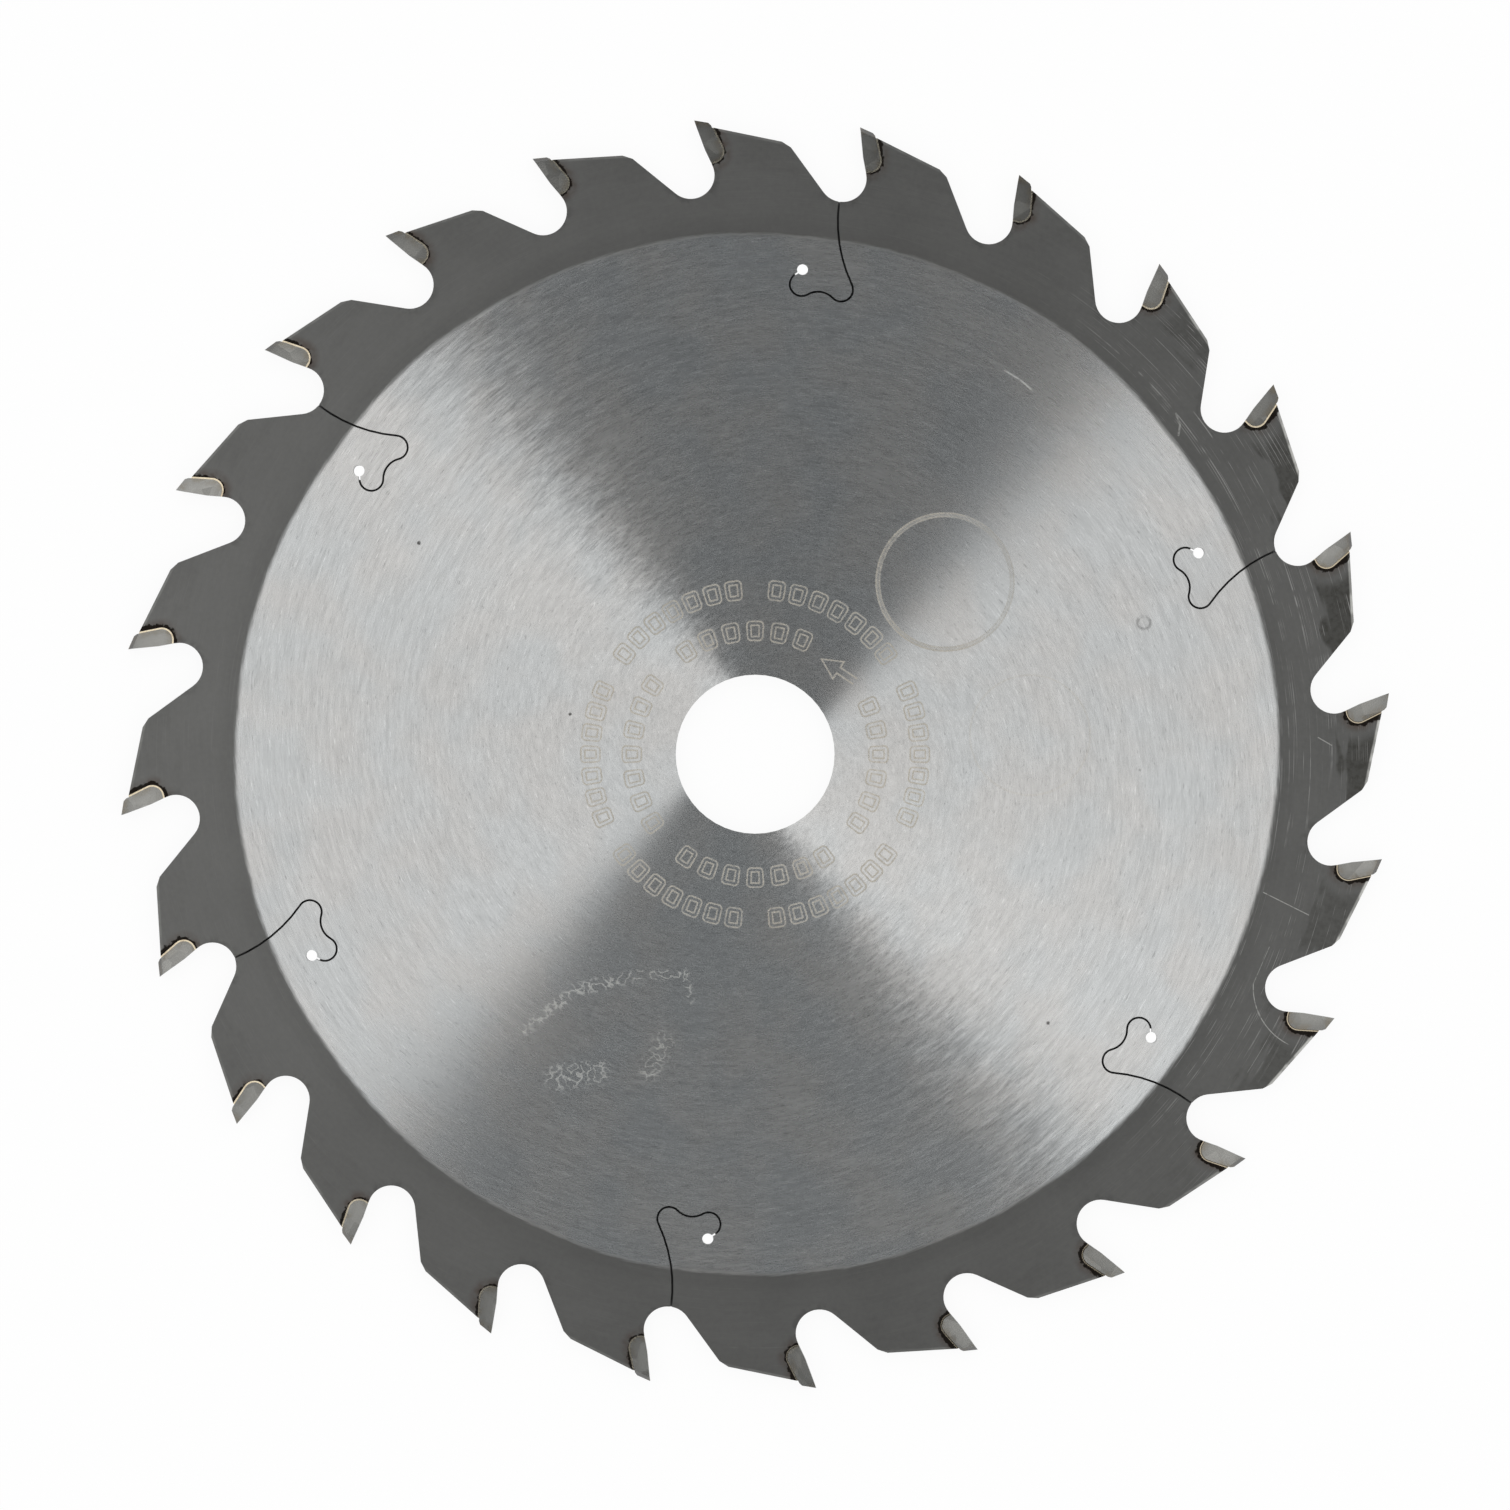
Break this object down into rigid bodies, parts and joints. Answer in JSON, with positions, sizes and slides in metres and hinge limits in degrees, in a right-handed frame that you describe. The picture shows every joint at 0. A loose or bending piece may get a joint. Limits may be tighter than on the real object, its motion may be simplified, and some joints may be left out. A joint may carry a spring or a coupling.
{
  "type": "circular saw blade",
  "caption": "Flat round saw blade with a central bore, carbide-tipped teeth and curled expansion slots, for a hand-held circular saw.",
  "frame": {"origin": "centre of the bore at mid-thickness of the plate", "axes": "+Z along the blade's axis, out of the marked face; the teeth face counter-clockwise seen from +Z; +X and +Y lie in the plate as in the picture, right and up"},
  "size_m": [0.1592, 0.1592, 0.0022],
  "materials": {
    "plate_steel": "circular ground",
    "carbide": "fine ground",
    "braze_metal": "as brazed"
  },
  "bodies": {
    "root": {"saw_plate": "plate_steel", "carbide_tip_01": "carbide", "carbide_tip_02": "carbide", "carbide_tip_03": "carbide", "carbide_tip_04": "carbide", "carbide_tip_05": "carbide", "carbide_tip_06": "carbide", "carbide_tip_07": "carbide", "carbide_tip_08": "carbide", "carbide_tip_09": "carbide", "carbide_tip_10": "carbide", "carbide_tip_11": "carbide", "carbide_tip_12": "carbide", "carbide_tip_13": "carbide", "carbide_tip_14": "carbide", "carbide_tip_15": "carbide", "carbide_tip_16": "carbide", "carbide_tip_17": "carbide", "carbide_tip_18": "carbide", "carbide_tip_19": "carbide", "carbide_tip_20": "carbide", "carbide_tip_21": "carbide", "carbide_tip_22": "carbide", "carbide_tip_23": "carbide", "carbide_tip_24": "carbide", "braze_joint_01": "braze_metal", "braze_joint_02": "braze_metal", "braze_joint_03": "braze_metal", "braze_joint_04": "braze_metal", "braze_joint_05": "braze_metal", "braze_joint_06": "braze_metal", "braze_joint_07": "braze_metal", "braze_joint_08": "braze_metal", "braze_joint_09": "braze_metal", "braze_joint_10": "braze_metal", "braze_joint_11": "braze_metal", "braze_joint_12": "braze_metal", "braze_joint_13": "braze_metal", "braze_joint_14": "braze_metal", "braze_joint_15": "braze_metal", "braze_joint_16": "braze_metal", "braze_joint_17": "braze_metal", "braze_joint_18": "braze_metal", "braze_joint_19": "braze_metal", "braze_joint_20": "braze_metal", "braze_joint_21": "braze_metal", "braze_joint_22": "braze_metal", "braze_joint_23": "braze_metal", "braze_joint_24": "braze_metal"}
  },
  "joints": []
}
